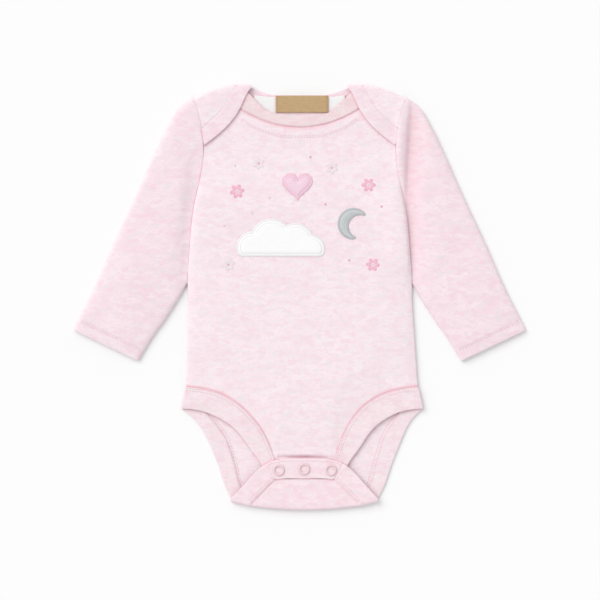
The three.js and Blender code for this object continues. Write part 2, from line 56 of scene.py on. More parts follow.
# %% Camera
PIXEL = 0.93
VIEW_CENTRE = Vector((0.4, -2.8, 3.0)) * MM
VIEW_WIDTH = 600 * PIXEL * MM
LENS = 120.0
SENSOR = 36.0

camera_data = bpy.data.cameras.new("camera_above")
camera_data.lens = LENS
camera_data.sensor_width = SENSOR
camera = bpy.data.objects.new("camera_above", camera_data)
camera.location = VIEW_CENTRE + Vector((0, 0, VIEW_WIDTH * LENS / SENSOR))
bpy.context.scene.collection.objects.link(camera)
bpy.context.scene.camera = camera
print("camera height in m:", round(camera.location.z, 3))

# %% [markdown]
# ## Floor and light
# White cloth on white paper shows its edges only through soft shadows. So a bright room lights
# everything evenly, and one very wide light from the neck side and the left darkens each slope that
# turns away from it.

# %% Floor and light
ROOM_STRENGTH = 0.76
LIGHT_FROM = Vector((-0.66, 0.60, 0.80))
LIGHT_STRENGTH = 1.52
LIGHT_ANGLE = 42  # degrees across, for soft shadow edges
FLOOR_SIZE = 8.0  # m
FLOOR_LEVEL = -0.0004  # m, just under the cloth
FLOOR_GREY = 0.907


def select_only(*objects):
    bpy.ops.object.select_all(action="DESELECT")
    for item in objects:
        item.select_set(True)
    bpy.context.view_layer.objects.active = objects[-1]


bpy.ops.object.select_all(action="DESELECT")
bpy.ops.mesh.primitive_plane_add(size=FLOOR_SIZE, location=(0, 0, FLOOR_LEVEL))
floor = bpy.context.object
floor.name = "studio_floor"
bpy.ops.object.transform_apply(location=True)

floor_paint = bpy.data.materials.new("pale_floor")
floor_paint.use_nodes = True
floor_shader = floor_paint.node_tree.nodes["Principled BSDF"]
floor_shader.inputs["Base Color"].default_value = (FLOOR_GREY, FLOOR_GREY, FLOOR_GREY, 1)
floor_shader.inputs["Roughness"].default_value = 1.0
floor_shader.inputs["Specular IOR Level"].default_value = 0.0
floor.data.materials.append(floor_paint)

world = bpy.data.worlds.new("soft_room")
world.use_nodes = True
world.node_tree.nodes["Background"].inputs["Color"].default_value = (1, 1, 1, 1)
world.node_tree.nodes["Background"].inputs["Strength"].default_value = ROOM_STRENGTH
bpy.context.scene.world = world
bpy.context.scene.view_settings.view_transform = "Standard"

lamp_data = bpy.data.lights.new("wide_light", "SUN")
lamp_data.energy = LIGHT_STRENGTH
lamp_data.angle = math.radians(LIGHT_ANGLE)
lamp = bpy.data.objects.new("wide_light", lamp_data)
lamp.rotation_euler = (-LIGHT_FROM).to_track_quat("-Z", "Y").to_euler()
bpy.context.scene.collection.objects.link(lamp)
print("light from:", tuple(round(v, 2) for v in LIGHT_FROM.normalized()))

# %% [markdown]
# ## The knit
# The fabric is a fine melange jersey: pale pink yarn spun with a little deeper pink, white and grey,
# so that faint flecks run along the rows of stitches. A photograph of cloth could be laid on, but
# noise stretched along the rows gives the same flecks at any distance and needs no picture.
# Finer waves give the loops of the knit.

# %% Node helpers
def add_node(tree, kind, **values):
    node = tree.nodes.new(kind)
    for key, value in values.items():
        setattr(node, key, value)
    return node


def link(tree, source, output, target, entry):
    tree.links.new(source.outputs[output], target.inputs[entry])


def math_node(tree, operation, first, second=None):
    node = add_node(tree, "ShaderNodeMath", operation=operation)
    for entry, value in zip(node.inputs, (first, second)):
        if isinstance(value, (int, float)):
            entry.default_value = value
        elif value is not None:
            tree.links.new(value, entry)
    return node.outputs[0]


def mix_colour(tree, factor, below, above):
    node = add_node(tree, "ShaderNodeMix", data_type="RGBA")
    colours = [entry for entry in node.inputs if entry.type == "RGBA"]
    for entry, value in zip(colours, (below, above)):
        if isinstance(value, tuple):
            entry.default_value = (*value, 1)
        else:
            tree.links.new(value, entry)
    tree.links.new(factor, node.inputs["Factor"])
    return next(output for output in node.outputs if output.type == "RGBA")


# %% Flecks and loops
WALE = 1.15  # mm between columns of stitches
COURSE = 0.95  # mm between rows
ROW_DIP = 1.1  # how far a row sags in its column
ROW_HEIGHT = 0.35  # of a row, where a column's is 1


def turned(tree, coordinates, turn, shift=(0, 0, 0), scale=(1, 1, 1)):
    mapping = add_node(tree, "ShaderNodeMapping")
    mapping.inputs["Location"].default_value = shift
    mapping.inputs["Rotation"].default_value = (0, 0, turn)
    mapping.inputs["Scale"].default_value = scale
    link(tree, coordinates, "Object", mapping, "Vector")
    return mapping


def flecks(tree, coordinates, turn, size, shift, low, high, most):
    """Soft flecks of a length and a height in mm, along the rows of the knit, from 0 to most."""
    length, height = size
    scale = (1000 / length, 1000 / height, 1000 / length)
    mapping = turned(tree, coordinates, turn, (shift, 2 * shift, 3 * shift), scale)
    grain = add_node(tree, "ShaderNodeTexNoise")
    grain.inputs["Scale"].default_value = 1.0
    grain.inputs["Detail"].default_value = 2.0
    grain.inputs["Roughness"].default_value = 0.5
    grain.inputs["Distortion"].default_value = 0.15
    link(tree, mapping, "Vector", grain, "Vector")
    spread = add_node(tree, "ShaderNodeMapRange", interpolation_type="SMOOTHSTEP")
    spread.inputs["From Min"].default_value = low
    spread.inputs["From Max"].default_value = high
    spread.inputs["To Max"].default_value = most
    link(tree, grain, "Fac", spread, "Value")
    return spread.outputs["Result"]


def knit_height(tree, coordinates, turn):
    """Height of the loops: rounded columns, cut across by rows that dip toward each column's middle."""
    mapping = turned(tree, coordinates, turn)
    axes = add_node(tree, "ShaderNodeSeparateXYZ")
    link(tree, mapping, "Vector", axes, "Vector")
    across = math_node(tree, "MULTIPLY", axes.outputs["X"], 1000 / WALE)
    along = math_node(tree, "MULTIPLY", axes.outputs["Y"], 1000 / COURSE)
    half_turns = math_node(tree, "MULTIPLY", across, math.pi)
    column = math_node(tree, "ABSOLUTE", math_node(tree, "SINE", half_turns))
    dip = math_node(tree, "MULTIPLY", math_node(tree, "PINGPONG", across, 0.5), ROW_DIP)
    turns = math_node(tree, "MULTIPLY", math_node(tree, "ADD", along, dip), 2 * math.pi)
    row = math_node(tree, "SINE", turns)
    return math_node(tree, "ADD", column, math_node(tree, "MULTIPLY", row, ROW_HEIGHT))


# %% Knit materials
def cloth_shader(name, roughness=0.92, sheen=0.12):
    material = bpy.data.materials.new(name)
    material.use_nodes = True
    tree = material.node_tree
    shader = tree.nodes["Principled BSDF"]
    shader.inputs["Roughness"].default_value = roughness
    shader.inputs["Specular IOR Level"].default_value = 0.18
    shader.inputs["Sheen Weight"].default_value = sheen
    shader.inputs["Sheen Roughness"].default_value = 0.5
    return material, tree, shader, add_node(tree, "ShaderNodeTexCoord")


def add_relief(tree, shader, height, strength, depth_mm):
    relief = add_node(tree, "ShaderNodeBump")
    relief.inputs["Strength"].default_value = strength
    relief.inputs["Distance"].default_value = depth_mm * MM
    tree.links.new(height, relief.inputs["Height"])
    link(tree, relief, "Normal", shader, "Normal")


FLECKS = [
    # colour, length and height in mm, shift, the noise where it starts and where it is full, most
    ("deep", (26, 13), 0.3, 0.38, 0.70, 0.50),
    ("pale", (12, 5.5), 7.9, 0.47, 0.72, 0.55),
    ("deep", (8, 4.2), 1.3, 0.46, 0.68, 0.80),
    ("grey", (8, 3.6), 3.3, 0.49, 0.71, 0.75),
    ("deep", (3.0, 1.7), 5.1, 0.49, 0.68, 0.50),
]
LIGHTER = 0.89  # the tone that pale flecks go toward
DARKER = 0.11  # how far below the ground's grey the grey flecks go
PAINTED_SHADE = "painted_fold_shade"  # attribute for painted shade: how deep each point lies in a fold or seam, from 0 to 1
# Colour of the painted shade in folds and seams, as a share of the deeper fleck
PAINTED_SHADE_TINT = (0.98, 0.50, 0.58)


def melange(name, base, deep, turn=0.0, bump=0.3):
    material, tree, shader, coordinates = cloth_shader(name)
    mean = sum(base) / 3
    colours = {
        "deep": deep,
        "pale": tuple(0.60 * b + 0.40 * LIGHTER for b in base),
        "grey": tuple(0.50 * b + 0.50 * (mean - DARKER) for b in base),
    }
    colour = base
    for kind, extent, shift, low, high, most in FLECKS:
        share = flecks(tree, coordinates, turn, extent, shift, low, high, most)
        colour = mix_colour(tree, share, colour, colours[kind])
    # Painted shade: the colour goes toward a deeper rose by how deep the point lies in a fold or seam
    depth = add_node(tree, "ShaderNodeAttribute", attribute_name=PAINTED_SHADE)
    shade = tuple(d * t for d, t in zip(deep, PAINTED_SHADE_TINT))
    colour = mix_colour(tree, depth.outputs["Fac"], colour, shade)
    tree.links.new(colour, shader.inputs["Base Color"])
    add_relief(tree, shader, knit_height(tree, coordinates, turn), bump, 0.25)
    return material


PINKS = {
    # piece: the ground colour and its deeper fleck
    "body": ((0.900, 0.784, 0.824), (0.866, 0.682, 0.742)),
    # The sleeves are the same knit as the body: their darker pink is painted shade.
    "sleeve": ((0.890, 0.744, 0.792), (0.858, 0.648, 0.714)),
    "binding": ((0.902, 0.770, 0.808), (0.866, 0.670, 0.728)),
    "neck": ((0.868, 0.714, 0.729), (0.836, 0.626, 0.660)),
    "flap": ((0.903, 0.748, 0.795), (0.870, 0.652, 0.717)),
}
SLEEVE_TURN = 0.30  # radians: the rows in a sleeve lean with it
knit_body = melange("melange_knit_body", *PINKS["body"])
# Sleeve knits: rows lean with each sleeve, and the darker pink is painted shade.
knit_left = melange("melange_knit_left_sleeve", *PINKS["sleeve"], turn=SLEEVE_TURN)
knit_right = melange("melange_knit_right_sleeve", *PINKS["sleeve"], turn=-SLEEVE_TURN)
knit_band = melange("melange_binding", *PINKS["binding"], bump=0.45)
knit_neck = melange("melange_neck_binding", *PINKS["neck"], bump=0.45)
knit_flap = melange("melange_crotch_flap", *PINKS["flap"])
# The flap binding knit takes the sleeves' pink, painted shade included.
knit_flap_band = melange("melange_flap_binding", *PINKS["sleeve"])
knit_white = melange("white_facing_knit", (0.855, 0.855, 0.857), (0.84, 0.84, 0.845))
print("materials so far:", [material.name for material in bpy.data.materials])

# %% [markdown]
# ## Creases
# Laid by hand, a soft garment is never quite flat. A cloth simulation could crumple it, but here the
# few folds of a pressed, carefully laid garment are wanted, each in its own place. So each crease is
# a line with a width and a height, and a little noise keeps it uneven.

# %% Creases
CREASES = [
    # from x, y, to x, y, half-width, height (below 0 is a trough)
    (-96, 62, -116, 55, 3.5, -0.55),
    (-97, 43, -119, 36, 3.5, -0.55),
    (-100, 26, -124, 14, 4.0, -0.45),
    (-112, 16, -146, 62, 8, 0.50),
    (-140, 100, -120, 156, 9, 0.45),
    (-190, -8, -158, 40, 9, 0.30),
    (112, 16, 150, 72, 8, 0.50),
    (138, 108, 119, 158, 9, 0.45),
    (188, -6, 155, 44, 9, 0.30),
    (166, -22, 176, 8, 8, -0.35),
    (-88, 128, -62, 60, 11, 0.40),
    (88, 128, 66, 66, 11, 0.40),
    (-92, 4, -50, -22, 10, 0.35),
    (95, -6, 52, -30, 10, 0.35),
    (-95, -76, -72, -78, 4, -0.40),
    (86, -74, 60, -82, 4, -0.35),
    (-58, -84, -30, -112, 6, 0.35),
    (62, -84, 36, -112, 6, 0.35),
    (-20, -130, -8, -96, 7, 0.35),
    (30, -132, 16, -92, 7, 0.35),
    (-44, 146, -12, 136, 7, -0.25),
    (12, 137, 46, 147, 7, -0.25),
    (78, 186, 92, 168, 5, 0.35),
    (-78, 186, -92, 168, 6, 0.30),
    (94, 180, 92, 104, 4.5, 1.5),
]
DIPS = {
    # piece: from x, y, to x, y, half-width, height, for creases of that piece alone
    "front_body": [
        (-19, -149.2, 25, -149.8, 1.5, -2.8),
        (-24, -145.2, 32, -146.0, 3.0, 0.9),
    ],
    "sleeve_left": [(-92, 152, -98, 52, 9.0, -1.1)],
}
# The deep fold in the right sleeve: height on the garment, where it runs, how deep it is
FOLD_LINE = [(8, 104.6), (40, 102.8), (75, 100.9), (105, 100.7), (145, 102.2), (190, 104.8)]
FOLD_DEPTH = [(0, 0.0), (14, 1.6), (40, 3.0), (80, 3.8), (120, 4.8), (160, 4.6), (184, 1.6), (195, 0.0)]
FOLD_WIDTH = (2.0, 11.0)  # mm: its steep side toward the body and its gentle side in the sleeve
FLOOR_OF_FOLD = 1.4  # mm: the layer below
TOP_LAYERS = (1.4, 2.6)  # mm: creases come in fully above this band of heights
UNEVEN = 0.45  # how much a crease's height varies along it
WAVES = [
    # height and length in mm, layer of the noise: faint waves all over the cloth
    (0.30, 40, 3.7),
    (0.10, 14, 9.1),
]


def smooth_step(low, high, value):
    t = max(0.0, min(1.0, (value - low) / (high - low)))
    return t * t * (3 - 2 * t)


def follow(rows, at):
    """The second column of a table where the first is "at", on a smooth curve through its rows."""
    last = len(rows) - 1
    start = max(0, min(last - 1, sum(key <= at for key, _ in rows) - 1))

    def slope(k):
        a, b = rows[max(k - 1, 0)], rows[min(k + 1, last)]
        return (b[1] - a[1]) / (b[0] - a[0])

    (x0, y0), (x1, y1) = rows[start], rows[start + 1]
    span = x1 - x0
    t = max(0.0, min(1.0, (at - x0) / span))
    ends = y0 * (1 + 2 * t) * (1 - t) ** 2 + y1 * t * t * (3 - 2 * t)
    return ends + span * t * (1 - t) * (slope(start) * (1 - t) - slope(start + 1) * t)


def fold_height(x, y):
    """How far the fold in the right sleeve goes down at a place in mm, as a number below 0."""
    across = x - follow(FOLD_LINE, y)
    width = FOLD_WIDTH[0] if across < 0 else FOLD_WIDTH[1]
    return -max(0.0, follow(FOLD_DEPTH, y)) * math.exp(-((across / width) ** 2))


def crease_height(x, y, own=()):
    """What all the creases and waves add to the height at a place in mm."""
    total = 0.0
    for x0, y0, x1, y1, width, height in (*CREASES, *own):
        along = Vector((x1 - x0, y1 - y0))
        reach = Vector((x - x0, y - y0))
        share = max(0.0, min(1.0, reach.dot(along) / along.length_squared))
        away = (reach - along * share).length / width
        if away < 2.5:
            taper = math.sin(math.pi * (0.12 + 0.76 * share))
            uneven = 1 + UNEVEN * noise.noise(Vector((x, y, width)) / 16)
            total += height * math.exp(-away * away) * taper * uneven
    for height, length, layer in WAVES:
        total += height * noise.noise(Vector((x / length, y / length, layer)))
    return total


print("creases:", len(CREASES), "height at the chest in mm:", round(crease_height(0, 60), 2))

# %% [markdown]
# ## From solid to cloth
# Each cut piece starts as a copy of its solid. Merging its points and joining its triangles gives
# clean four-sided faces, a subdivision surface smooths them, and creased rims keep the outline.
# A small bevel rounds the rims as a folded edge is rounded.

# %% Cloth from a solid
RIM = 0.3  # mm of rounding at each rim
RIM_ANGLE = math.radians(50)  # an edge sharper than this is a rim
LEVELS = 2
MERGE = 0.00001  # m: points nearer than this become one


def cloth_from(node, material):
    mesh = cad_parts[node].data.copy()
    piece = bpy.data.objects.new(node + "_cloth", mesh)
    bpy.context.scene.collection.objects.link(piece)
    mesh.materials.clear()
    mesh.materials.append(material)
    select_only(piece)
    bpy.ops.object.mode_set(mode="EDIT")
    bpy.ops.mesh.select_all(action="SELECT")
    bpy.ops.mesh.customdata_custom_splitnormals_clear()
    bpy.ops.mesh.remove_doubles(threshold=MERGE)
    bpy.ops.mesh.tris_convert_to_quads(
        face_threshold=math.radians(40), shape_threshold=math.radians(60)
    )
    bpy.ops.mesh.select_mode(type="EDGE")
    bpy.ops.mesh.select_all(action="DESELECT")
    bpy.ops.mesh.edges_select_sharp(sharpness=RIM_ANGLE)
    bpy.ops.transform.edge_crease(value=1.0)
    bpy.ops.object.mode_set(mode="OBJECT")
    smooth = piece.modifiers.new("smooth", "SUBSURF")
    smooth.levels = smooth.render_levels = LEVELS
    bpy.ops.object.modifier_apply(modifier="smooth")
    edge = piece.modifiers.new("rim", "BEVEL")
    edge.width = RIM * MM
    edge.segments = 2
    edge.limit_method = "ANGLE"
    edge.angle_limit = RIM_ANGLE
    bpy.ops.object.modifier_apply(modifier="rim")
    bpy.ops.object.shade_smooth_by_angle(angle=math.radians(60))
    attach(piece, "root")
    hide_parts(node)
    return piece


CLOTH = [
    # node, material, slot
    ("back_body", knit_body, "knit"),
    ("front_body", knit_body, "knit"),
    ("sleeve_left", knit_left, "knit"),
    ("sleeve_right", knit_right, "knit"),
    ("leg_binding_front_left", knit_band, "binding"),
    ("leg_binding_front_right", knit_band, "binding"),
    ("leg_binding_back_left", knit_band, "binding"),
    ("leg_binding_back_right", knit_band, "binding"),
    ("snap_placket", knit_flap, "binding"),
    ("front_neck_binding", knit_neck, "binding"),
    ("back_neck_binding", knit_flap_band, "binding"),
    ("back_neck_facing", knit_white, "white_knit"),
]
cloth = {}
for node, material, slot in CLOTH:
    cloth[node] = cloth_from(node, material)
    print(node, len(cloth[node].data.polygons), "faces")

# %% [markdown]
# ## The crotch flap
# The flap and its bindings lie double on the front, and their faces take a deeper pink knit of their
# own. The front dips where the flap ends on it. That dip is narrow, so the panel is cut
# across there into more rows of points, which a later step presses down.

# %% Colour of the flap
FLAP_BELOW = -0.150  # m: the flap begins at this y
FLAP_ABOVE = 0.003  # m: and lies higher than this
for node in ("back_body", "leg_binding_back_left", "leg_binding_back_right"):
    cloth[node].data.materials.append(knit_flap)
    for face in cloth[node].data.polygons:
        if face.center.y < FLAP_BELOW and face.center.z > FLAP_ABOVE:
            face.material_index = 1
    print(node, sum(face.material_index for face in cloth[node].data.polygons), "faces in the flap")

# %% Rows where the front dips
DIP_ROWS = (-146, -147, -147.8, -148.4, -149, -149.6, -150.2, -151)  # y in mm
select_only(cloth["front_body"])
bpy.ops.object.mode_set(mode="EDIT")
for y in DIP_ROWS:
    bpy.ops.mesh.select_all(action="SELECT")
    bpy.ops.mesh.bisect(plane_co=(0, y * MM, 0), plane_no=(0, 1, 0))
bpy.ops.object.mode_set(mode="OBJECT")
print("front with more rows:", len(cloth["front_body"].data.polygons), "faces")

# %% [markdown]
# ## Closing the seams
# The solids stop a little short of each other, so that each stays a part of its own. Sewn cloth
# meets. So every point near a neighbour's edge moves almost half of the way toward it, in plan,
# and only a soft groove is left where the two rounded rims come together.

# %% Closed seams
SEWN = [
    ("front_body", "sleeve_left"), ("front_body", "sleeve_right"),
    ("back_body", "sleeve_left"), ("back_body", "sleeve_right"),
    ("front_body", "leg_binding_front_left"), ("front_body", "leg_binding_front_right"),
    ("back_body", "leg_binding_back_left"), ("back_body", "leg_binding_back_right"),
    ("front_body", "front_neck_binding"), ("back_body", "back_neck_binding"),
    ("back_body", "snap_placket"),
    ("snap_placket", "leg_binding_back_left"), ("snap_placket", "leg_binding_back_right"),
    ("sleeve_left", "back_neck_binding"), ("sleeve_right", "back_neck_binding"),
]
SQUASH = Matrix.Diagonal((1, 1, 0.35))  # heights count less when the nearest point is looked for
REACH = (0.8, 1.6)  # mm: points move fully up to the first distance, not at all beyond the second
SHARE = 0.47  # of the way to the neighbour
# Seams that hardly show, because one strip runs on into the other
CLOSER = {
    ("snap_placket", "leg_binding_back_left"), ("snap_placket", "leg_binding_back_right"),
    ("back_body", "leg_binding_back_left"), ("back_body", "leg_binding_back_right"),
    ("front_body", "leg_binding_front_left"), ("front_body", "leg_binding_front_right"),
    ("back_body", "back_neck_binding"),
}
CLOSER_SHARE = 0.60


def squashed_tree(piece):
    points = [SQUASH @ vertex.co for vertex in piece.data.vertices]
    return BVHTree.FromPolygons(points, [face.vertices for face in piece.data.polygons])


trees = {node: squashed_tree(cloth[node]) for node in cloth}
moves = {node: {} for node in cloth}
for pair in SEWN:
    share = CLOSER_SHARE if pair in CLOSER else SHARE
    for node, other in (pair, pair[::-1]):
        for vertex in cloth[node].data.vertices:
            near, _, _, distance = trees[other].find_nearest(SQUASH @ vertex.co, REACH[1] * MM)
            if near is not None:
                step = Vector((near.x - vertex.co.x, near.y - vertex.co.y, 0))
                step *= share * (1 - smooth_step(*REACH, distance / MM))
                if step.length > moves[node].get(vertex.index, Vector()).length:
                    moves[node][vertex.index] = step
for node, steps in moves.items():
    for index, step in steps.items():
        cloth[node].data.vertices[index].co += step
print("points moved:", {node: len(steps) for node, steps in moves.items() if steps})

# %% [markdown]
# The creases are pressed in after the seams, and only into the layers that lie on top, so that the
# underside stays flat on the table. A trough never reaches the layer below: the nearer it comes, the
# less it sinks.

# %% Pressing the creases in
def press(node):
    for vertex in cloth[node].data.vertices:
        x, y, z = vertex.co / MM
        top = smooth_step(*TOP_LAYERS, z)
        if top > 0:
            change = top * crease_height(x, y, DIPS.get(node, ()))
            if node == "sleeve_right":
                change += top * fold_height(x, y)
            room = z - FLOOR_OF_FOLD
            if change < 0 and room > 0:
                change = room * (math.exp(change / room) - 1)
            vertex.co.z += change * MM


for node in cloth:
    press(node)
print("highest point in mm:", round(max(v.co.z for v in cloth["snap_placket"].data.vertices) / MM, 2))

# %% [markdown]
# ## Label and patches
# A woven label lies on the facing. The three chest patches are felt and satin: a cloud, a heart and
# a moon, cut out and sewn on. Each is made from its solid like the panels, with closer weaves.

# %% Woven materials
def woven(name, base, dark, yarn, roughness, bump):
    """A close plain weave: two crossing waves, with faint darker streaks."""
    material, tree, shader, coordinates = cloth_shader(name, roughness, 0.2)
    axes = add_node(tree, "ShaderNodeSeparateXYZ")
    link(tree, coordinates, "Object", axes, "Vector")
    turns = 1000 * math.pi / yarn
    across, along = (math_node(tree, "MULTIPLY", axes.outputs[axis], turns) for axis in "XY")
    waves = [math_node(tree, "SINE", angle) for angle in (across, along)]
    height = math_node(tree, "ABSOLUTE", math_node(tree, "MULTIPLY", *waves))
    shade = flecks(tree, coordinates, 0.0, (5, 1.2), 2.1, 0.40, 0.70, 0.9)
    tree.links.new(mix_colour(tree, shade, base, dark), shader.inputs["Base Color"])
    add_relief(tree, shader, height, bump, 0.2)
    return material


WEAVES = {
    # material: ground, its darker tone, mm between yarns, roughness, bump
    "kraft_label": ((0.530, 0.365, 0.198), (0.480, 0.320, 0.166), 0.7, 0.80, 0.40),
    "white_felt": ((0.900, 0.900, 0.900), (0.885, 0.885, 0.885), 0.6, 0.95, 0.15),
    "pink_satin": ((0.846, 0.630, 0.726), (0.825, 0.590, 0.690), 0.5, 0.45, 0.20),
    "grey_satin": ((0.530, 0.566, 0.568), (0.500, 0.535, 0.540), 0.5, 0.45, 0.20),
}
LAID_ON = [
    # node, its weave, slot
    ("neck_label", "kraft_label", "label"),
    ("patch_cloud", "white_felt", "white_knit"),
    ("patch_heart", "pink_satin", "pink_satin"),
    ("patch_moon", "grey_satin", "grey_satin"),
]
for node, weave, slot in LAID_ON:
    cloth[node] = cloth_from(node, woven(weave, *WEAVES[weave]))
    press(node)
    print(node, len(cloth[node].data.polygons), "faces")

# %% [markdown]
# ## Threads
# A stitch is a short piece of thread that dives into the cloth at both ends. It is modelled once,
# from a six-sided rod whose ends are drawn out, narrowed and bent down, and then laid along each
# seam. A texture could draw stitches too, but real ones catch the light at every edge.

# %% One stitch
STITCH = 1.9  # mm long
THREAD = 0.23  # mm radius


def select_end(mesh, side):
    for polygon in mesh.polygons:
        polygon.select = side * polygon.normal.x > 0.9


def model_stitch():
    bpy.ops.object.select_all(action="DESELECT")
    middle = STITCH * 0.5
    bpy.ops.mesh.primitive_cylinder_add(
        vertices=6, radius=THREAD * MM, depth=middle * MM, rotation=(0, math.pi / 2, 0)
    )
    rod = bpy.context.object
    bpy.ops.object.transform_apply(rotation=True)
    for side in (-1, 1):
        bpy.ops.object.mode_set(mode="EDIT")
        bpy.ops.mesh.select_mode(type="FACE")
        bpy.ops.mesh.select_all(action="DESELECT")
        bpy.ops.object.mode_set(mode="OBJECT")
        select_end(rod.data, side)
        bpy.ops.object.mode_set(mode="EDIT")
        out = Vector((side * (STITCH - middle) / 2, 0, -0.9 * THREAD)) * MM
        bpy.ops.mesh.extrude_region_move(TRANSFORM_OT_translate={"value": out})
        bpy.ops.transform.resize(value=(1, 0.55, 0.55))
        bpy.ops.object.mode_set(mode="OBJECT")
    points = [vertex.co.copy() for vertex in rod.data.vertices]
    faces = [tuple(polygon.vertices) for polygon in rod.data.polygons]
    bpy.data.objects.remove(rod)
    return points, faces


stitch_points, stitch_faces = model_stitch()
print("one stitch:", len(stitch_faces), "faces")

# %% Where the cloth is
DROP_FROM = 0.02  # m, above everything


def tree_of(pieces):
    points, faces = [], []
    for piece in pieces:
        start = len(points)
        points += [vertex.co.copy() for vertex in piece.data.vertices]
        faces += [[start + index for index in face.vertices] for face in piece.data.polygons]
    return BVHTree.FromPolygons(points, faces)


surface = tree_of(cloth.values())


def on_cloth(x, y):
    """The cloth's highest point above a place given in mm, or None."""
    hit, _, _, _ = surface.ray_cast(Vector((x * MM, y * MM, DROP_FROM)), Vector((0, 0, -1)))
    return hit


def thread_between(a, b):
    """Places one stitch so that its ends reach two points."""
    span = b - a
    along = span.normalized()
    side = Vector((0, 0, 1)).cross(along).normalized()
    turn = Matrix((along, side, along.cross(side))).transposed()
    stretch = Matrix.Diagonal((span.length / (STITCH * MM), 1, 1))
    middle = (a + b) / 2 + along.cross(side) * THREAD * MM * 0.6
    return Matrix.Translation(middle) @ (turn @ stretch).to_4x4()


def lay_threads(name, places, material, slot):
    """One mesh that holds a stitch for each pair of end points."""
    points, faces = [], []
    for a, b in places:
        start = len(points)
        matrix = thread_between(a, b)
        points += [matrix @ point for point in stitch_points]
        faces += [[start + index for index in face] for face in stitch_faces]
    mesh = bpy.data.meshes.new(name)
    mesh.from_pydata(points, [], faces)
    mesh.materials.append(material)
    piece = bpy.data.objects.new(name, mesh)
    bpy.context.scene.collection.objects.link(piece)
    select_only(piece)
    bpy.ops.object.shade_smooth_by_angle(angle=math.radians(50))
    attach(piece, "root")


print("cloth under the chest's middle at z in mm:", round(on_cloth(0, 20).z / MM, 2))

# %% [markdown]
# ## Seam lines
# The seams follow the same half outlines as the cut pieces, as half-width and height, mirrored about
# a centre line that leans a little. A smooth curve runs through the points of each, and the stitches
# keep a set distance from it: one row at the neck seam and two below it, two beside each leg binding,
# one at each edge of the placket, and two round each cuff's hem.

# %% Smooth lines
ANY_HEIGHT = 9  # mm, above every piece of cloth
LEAN = [(-198, 4.5), (-135, 4.6), (-104, 2.6), (-50, 1.8), (15, 0), (50, 0), (198, 0)]


def half_line(points, side):
    return [(follow(LEAN, y) + side * half, y) for half, y in points]


def along(points, pitch, offset=0.0):
    """Places at even steps on a smooth line, moved sideways to its left, and the direction at each."""
    run = [0.0]
    for a, b in zip(points, points[1:]):
        run.append(run[-1] + math.dist(a, b))
    xs, ys = ([(s, point[axis]) for s, point in zip(run, points)] for axis in (0, 1))
    count = max(1, round(run[-1] / pitch))
    for i in range(count):
        s = (i + 0.5) * run[-1] / count
        here = Vector((follow(xs, s), follow(ys, s)))
        ahead = Vector((follow(xs, s + 0.2), follow(ys, s + 0.2)))
        direction = (ahead - here).normalized()
        yield here + offset * Vector((-direction.y, direction.x)), direction


def running_stitch(points, pitch=2.7, length=STITCH, offset=0.0, highest=ANY_HEIGHT):
    """Stitches along a line, left out where the cloth lies higher than that or steps up or down."""
    places = []
    for here, direction in along(points, pitch, offset):
        ends = [on_cloth(*(here + side * length / 2 * direction)) for side in (-1, 1)]
        if None not in ends and abs(ends[0].z - ends[1].z) < 0.5 * MM and ends[0].z < highest * MM:
            places.append(tuple(ends))
    return places


# %% Thread materials
def thread_material(name, colour, roughness=0.6):
    material, _, shader, _ = cloth_shader(name, roughness, 0.2)
    shader.inputs["Base Color"].default_value = (*colour, 1)
    return material


pink_thread = thread_material("pink_thread", (0.76, 0.52, 0.59))
white_thread = thread_material("white_thread", (0.86, 0.85, 0.855), 0.5)
rose_thread = thread_material("rose_thread", (0.86, 0.61, 0.70), 0.45)
petal_thread = thread_material("petal_thread", (0.86, 0.50, 0.62), 0.5)
grey_thread = thread_material("grey_thread", (0.52, 0.555, 0.56), 0.45)
pale_thread = thread_material("pale_thread", (0.82, 0.735, 0.77), 0.5)
kraft_thread = thread_material("kraft_thread", (0.42, 0.28, 0.14))

# %% Topstitching
NECK_SEAM = [(0, 157.7), (16.6, 159.3), (30.8, 162.9), (43.3, 168.2), (55.1, 174.6)]
NECK_COVER = [(0, 148.9), (17, 149.6), (31, 153.2), (43.1, 158.2), (54, 165.5)]
LEG_SEAM = [
    (108, -83.5), (92, -85.2), (79, -88.4), (67, -94.1), (56.8, -101), (46.4, -112.4), (38.6, -123),
    (30.9, -141), (27.5, -150),
]
BACK_LEG_SEAM = [
    (108, -83.9), (97, -98), (86, -111.5), (73.7, -129), (68.9, -142), (65.4, -153), (61.8, -168),
    (57, -182),
]
CROTCH_SEAM = [(49.6, -191.3), (41, -183), (30.5, -171.8), (27.8, -169.6)]
PLACKET_TOP = [(35.1, -154.45), (30, -152.2), (21, -150.5), (0, -150)]
PLACKET_SEAM = [(27.5, -169.2), (20, -168.3), (0, -168.2)]
CUFF = [(210.6, -30.5), (150, -59.4)]
HEM = (9.6, 11.4)  # mm from the cuff's edge to each row of its hem

TOPSTITCH = [
    # name, half line, distances to its left on the right half, highest place in mm
    ("neck_seam", NECK_SEAM, (1.2,), ANY_HEIGHT),
    ("neck_cover", NECK_COVER, (-0.8, 0.8), ANY_HEIGHT),
    ("leg_seam", LEG_SEAM, (1.2, 3.4), ANY_HEIGHT),
    ("back_leg_seam", BACK_LEG_SEAM, (-1.6, 1.3), 2.2),
    ("crotch_seam", CROTCH_SEAM, (-3.2, -1.2), ANY_HEIGHT),
    ("placket_top", PLACKET_TOP, (2.0,), ANY_HEIGHT),
    ("placket_seam", PLACKET_SEAM, (1.2,), ANY_HEIGHT),
]
for name, points, offsets, highest in TOPSTITCH:
    places = []
    for side in (-1, 1):
        for offset in offsets:
            places += running_stitch(half_line(points, side), offset=side * offset, highest=highest)
    lay_threads("stitch_" + name, places, pink_thread, "binding")
    print(name, len(places), "stitches")

